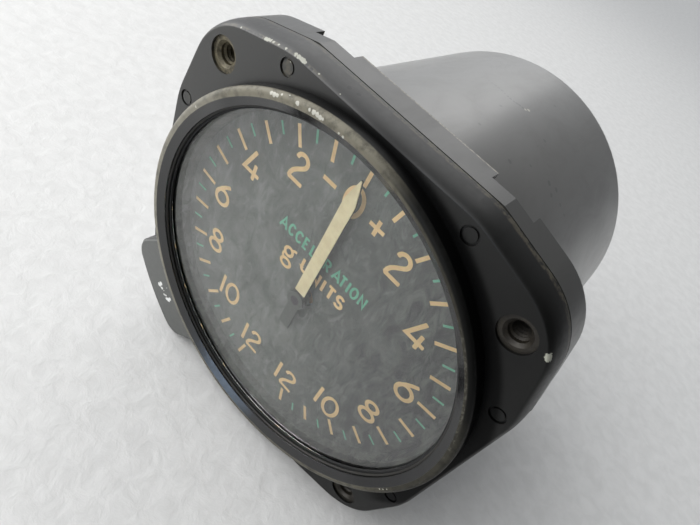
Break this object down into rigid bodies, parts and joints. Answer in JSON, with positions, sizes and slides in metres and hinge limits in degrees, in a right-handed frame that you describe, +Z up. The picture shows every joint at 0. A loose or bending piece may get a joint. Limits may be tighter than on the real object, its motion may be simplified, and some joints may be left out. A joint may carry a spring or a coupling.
{
  "type": "aircraft accelerometer indicator",
  "caption": "Round-cased panel instrument with a square flange; a sprung sliding weight turns one pointer over a scale of plus and minus g through a rack and pinion.",
  "frame": {"origin": "on the dial axis, in the plane of the flange's front face", "axes": "+X to the right and +Z up (12 o'clock) on the dial seen from the front, +Y into the instrument, so the dial faces -Y"},
  "size_m": [0.0826, 0.0782, 0.0826],
  "materials": {
    "black_casting": "worn satin black over a light casting",
    "case_paint": "satin dark grey",
    "insert_brass": "dull old brass",
    "seal_rubber": "matt black",
    "screw_steel": "blackened, worn in the slots",
    "ring_wire": "worn, dull",
    "clear_glass": "polished, slightly hazy",
    "dial_grey": "matt charcoal, mottled",
    "cream_lume": "matt cream paint",
    "green_lume": "matt pale green paint",
    "pointer_black": "matt black",
    "plate_aluminium": "machined",
    "part_brass": "turned",
    "part_steel": "ground",
    "spring_steel": "drawn wire",
    "stop_nylon": "matt",
    "bush_bronze": "turned"
  },
  "bodies": {
    "housing": {"front_frame": "black_casting", "corner_inserts": "insert_brass", "case": "case_paint", "case_seal": "seal_rubber", "case_screws": "screw_steel", "retaining_ring": "ring_wire", "glass_seal": "seal_rubber", "cover_glass": "clear_glass", "dial_spacer": "dial_grey", "dial": "dial_grey", "unit_ticks": "cream_lume", "half_ticks": "green_lume", "dial_feet": "part_brass", "front_plate": "plate_aluminium", "plate_screws": "part_steel", "pillars": "part_brass", "rear_plate": "plate_aluminium", "rear_plate_screws": "part_steel", "bridge_posts": "part_brass", "staff_bridge": "plate_aluminium", "bridge_screws": "part_steel", "front_bearing": "bush_bronze", "rear_bearing": "bush_bronze", "guide_rods": "part_steel", "upper_carrier": "plate_aluminium", "lower_carrier": "plate_aluminium", "stop_sleeves": "stop_nylon", "upper_spring": "spring_steel", "lower_spring": "spring_steel", "spring_adjusters": "part_steel", "adjuster_nuts": "part_brass"},
    "weight_carriage": {"weight": "part_brass", "weight_bushes": "bush_bronze", "rack": "part_steel", "rack_bracket": "part_brass", "bracket_screws": "part_steel"},
    "pointer_spindle": {"staff": "part_steel", "pinion": "part_brass", "staff_collar": "part_brass", "pointer_hub": "pointer_black", "pointer_arm": "pointer_black", "pointer_paint": "cream_lume", "pointer_cap": "pointer_black"}
  },
  "joints": [
    {"name": "weight_slide", "type": "slide", "parent": "housing", "child": "weight_carriage", "axis": [0, 0, -1], "range_m": [-0.00873, 0.00873], "stiffness_N_per_m": 1150, "springref_m": -0.00073, "deforming": ["upper_spring", "lower_spring"]},
    {"name": "pointer_turn", "type": "hinge", "parent": "housing", "child": "pointer_spindle", "pos_m": [0, 0, 0], "axis": [0, 1, 0], "range_deg": [-167, 167]}
  ],
  "couplings": [
    {"joint": "pointer_turn", "follows": "weight_slide", "rad_per_m": 333.33}
  ]
}
